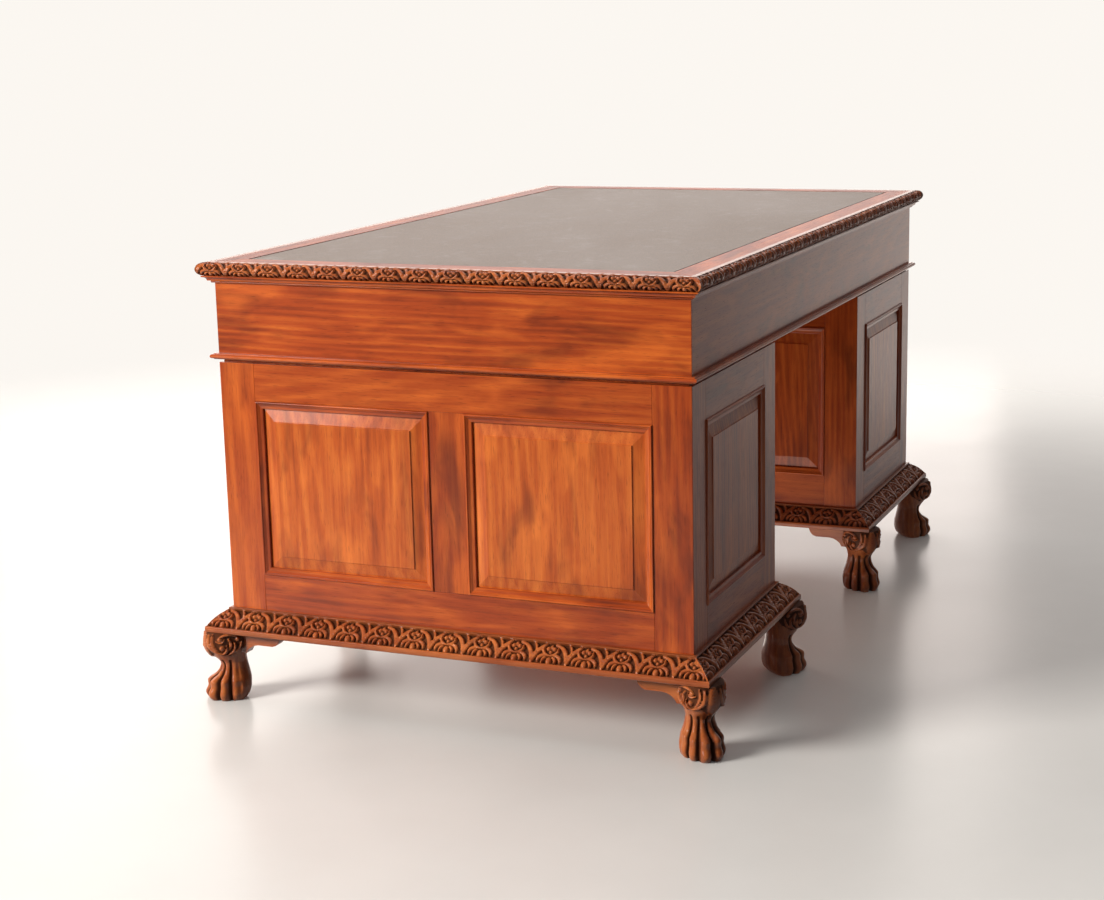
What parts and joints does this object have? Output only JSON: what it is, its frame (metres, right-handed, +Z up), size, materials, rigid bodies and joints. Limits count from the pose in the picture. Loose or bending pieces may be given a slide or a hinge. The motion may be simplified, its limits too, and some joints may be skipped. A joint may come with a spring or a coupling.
{
  "type": "writing desk",
  "caption": "Free-standing pedestal writing desk with a leather inset, carved edge and base mouldings, panelled sides, sliding drawers with bail handles and paw feet.",
  "frame": {"origin": "on the floor, under the middle of the desk", "axes": "+X to the sitter's right, along the desk's length; +Y away from the sitter, towards the visitor's side; +Z up. The drawers open towards -Y"},
  "size_m": [1.5586, 0.9666, 0.78],
  "materials": {
    "mahogany": "satin lacquered reddish-brown mahogany",
    "carved_mahogany": "carved mahogany, darker in its hollows, satin lacquer",
    "drawer_wood": "plain pale secondary timber, planed",
    "leather": "dark grey-brown desk leather, fine grain",
    "brass": "aged lacquered brass"
  },
  "bodies": {
    "desk": {"top_board": "mahogany", "leather_inset": "leather", "edge_moulding": "carved_mahogany", "cove_moulding": "carved_mahogany", "frieze_case": "mahogany", "frieze_dividers": "mahogany", "frieze_front_rails": "mahogany", "frieze_floor": "drawer_wood", "glue_blocks": "drawer_wood", "mid_moulding": "carved_mahogany", "left_frames": "mahogany", "left_panels": "mahogany", "left_panel_mouldings": "carved_mahogany", "left_boards": "drawer_wood", "left_drawer_rails": "mahogany", "left_base_moulding": "carved_mahogany", "left_feet": "mahogany", "right_frames": "mahogany", "right_panels": "mahogany", "right_panel_mouldings": "carved_mahogany", "right_boards": "drawer_wood", "right_drawer_rails": "mahogany", "right_base_moulding": "carved_mahogany", "right_feet": "mahogany"},
    "centre_top_drawer": {"centre_top_drawer_front": "mahogany", "centre_top_drawer_box": "drawer_wood", "centre_top_drawer_fittings": "brass"},
    "centre_top_drawer_handle": {"centre_top_drawer_bail": "brass"},
    "left_top_drawer": {"left_top_drawer_front": "mahogany", "left_top_drawer_box": "drawer_wood", "left_top_drawer_fittings": "brass"},
    "left_top_drawer_handle": {"left_top_drawer_bail": "brass"},
    "right_top_drawer": {"right_top_drawer_front": "mahogany", "right_top_drawer_box": "drawer_wood", "right_top_drawer_fittings": "brass"},
    "right_top_drawer_handle": {"right_top_drawer_bail": "brass"},
    "left_lower_drawer": {"left_lower_drawer_front": "mahogany", "left_lower_drawer_box": "drawer_wood", "left_lower_drawer_fittings": "brass"},
    "left_lower_drawer_handle": {"left_lower_drawer_bail": "brass"},
    "left_middle_drawer": {"left_middle_drawer_front": "mahogany", "left_middle_drawer_box": "drawer_wood", "left_middle_drawer_fittings": "brass"},
    "left_middle_drawer_handle": {"left_middle_drawer_bail": "brass"},
    "left_upper_drawer": {"left_upper_drawer_front": "mahogany", "left_upper_drawer_box": "drawer_wood", "left_upper_drawer_fittings": "brass"},
    "left_upper_drawer_handle": {"left_upper_drawer_bail": "brass"},
    "right_lower_drawer": {"right_lower_drawer_front": "mahogany", "right_lower_drawer_box": "drawer_wood", "right_lower_drawer_fittings": "brass"},
    "right_lower_drawer_handle": {"right_lower_drawer_bail": "brass"},
    "right_middle_drawer": {"right_middle_drawer_front": "mahogany", "right_middle_drawer_box": "drawer_wood", "right_middle_drawer_fittings": "brass"},
    "right_middle_drawer_handle": {"right_middle_drawer_bail": "brass"},
    "right_upper_drawer": {"right_upper_drawer_front": "mahogany", "right_upper_drawer_box": "drawer_wood", "right_upper_drawer_fittings": "brass"},
    "right_upper_drawer_handle": {"right_upper_drawer_bail": "brass"}
  },
  "joints": [
    {"name": "centre_top_drawer_slide", "type": "slide", "parent": "desk", "child": "centre_top_drawer", "axis": [0, -1, 0], "range_m": [0, 0.42]},
    {"name": "centre_top_drawer_handle_swing", "type": "hinge", "parent": "centre_top_drawer", "child": "centre_top_drawer_handle", "pos_m": [0, -0.444, 0.6845], "axis": [-1, 0, 0], "range_deg": [0, 85]},
    {"name": "left_top_drawer_slide", "type": "slide", "parent": "desk", "child": "left_top_drawer", "axis": [0, -1, 0], "range_m": [0, 0.42]},
    {"name": "left_top_drawer_handle_swing", "type": "hinge", "parent": "left_top_drawer", "child": "left_top_drawer_handle", "pos_m": [-0.513, -0.444, 0.6845], "axis": [-1, 0, 0], "range_deg": [0, 85]},
    {"name": "right_top_drawer_slide", "type": "slide", "parent": "desk", "child": "right_top_drawer", "axis": [0, -1, 0], "range_m": [0, 0.42]},
    {"name": "right_top_drawer_handle_swing", "type": "hinge", "parent": "right_top_drawer", "child": "right_top_drawer_handle", "pos_m": [0.513, -0.444, 0.6845], "axis": [-1, 0, 0], "range_deg": [0, 85]},
    {"name": "left_lower_drawer_slide", "type": "slide", "parent": "desk", "child": "left_lower_drawer", "axis": [0, -1, 0], "range_m": [0, 0.42]},
    {"name": "left_lower_drawer_handle_swing", "type": "hinge", "parent": "left_lower_drawer", "child": "left_lower_drawer_handle", "pos_m": [-0.513, -0.444, 0.24386], "axis": [-1, 0, 0], "range_deg": [0, 85]},
    {"name": "left_middle_drawer_slide", "type": "slide", "parent": "desk", "child": "left_middle_drawer", "axis": [0, -1, 0], "range_m": [0, 0.42]},
    {"name": "left_middle_drawer_handle_swing", "type": "hinge", "parent": "left_middle_drawer", "child": "left_middle_drawer_handle", "pos_m": [-0.513, -0.444, 0.39391], "axis": [-1, 0, 0], "range_deg": [0, 85]},
    {"name": "left_upper_drawer_slide", "type": "slide", "parent": "desk", "child": "left_upper_drawer", "axis": [0, -1, 0], "range_m": [0, 0.42]},
    {"name": "left_upper_drawer_handle_swing", "type": "hinge", "parent": "left_upper_drawer", "child": "left_upper_drawer_handle", "pos_m": [-0.513, -0.444, 0.53055], "axis": [-1, 0, 0], "range_deg": [0, 85]},
    {"name": "right_lower_drawer_slide", "type": "slide", "parent": "desk", "child": "right_lower_drawer", "axis": [0, -1, 0], "range_m": [0, 0.42]},
    {"name": "right_lower_drawer_handle_swing", "type": "hinge", "parent": "right_lower_drawer", "child": "right_lower_drawer_handle", "pos_m": [0.513, -0.444, 0.24386], "axis": [-1, 0, 0], "range_deg": [0, 85]},
    {"name": "right_middle_drawer_slide", "type": "slide", "parent": "desk", "child": "right_middle_drawer", "axis": [0, -1, 0], "range_m": [0, 0.42]},
    {"name": "right_middle_drawer_handle_swing", "type": "hinge", "parent": "right_middle_drawer", "child": "right_middle_drawer_handle", "pos_m": [0.513, -0.444, 0.39391], "axis": [-1, 0, 0], "range_deg": [0, 85]},
    {"name": "right_upper_drawer_slide", "type": "slide", "parent": "desk", "child": "right_upper_drawer", "axis": [0, -1, 0], "range_m": [0, 0.42]},
    {"name": "right_upper_drawer_handle_swing", "type": "hinge", "parent": "right_upper_drawer", "child": "right_upper_drawer_handle", "pos_m": [0.513, -0.444, 0.53055], "axis": [-1, 0, 0], "range_deg": [0, 85]}
  ]
}
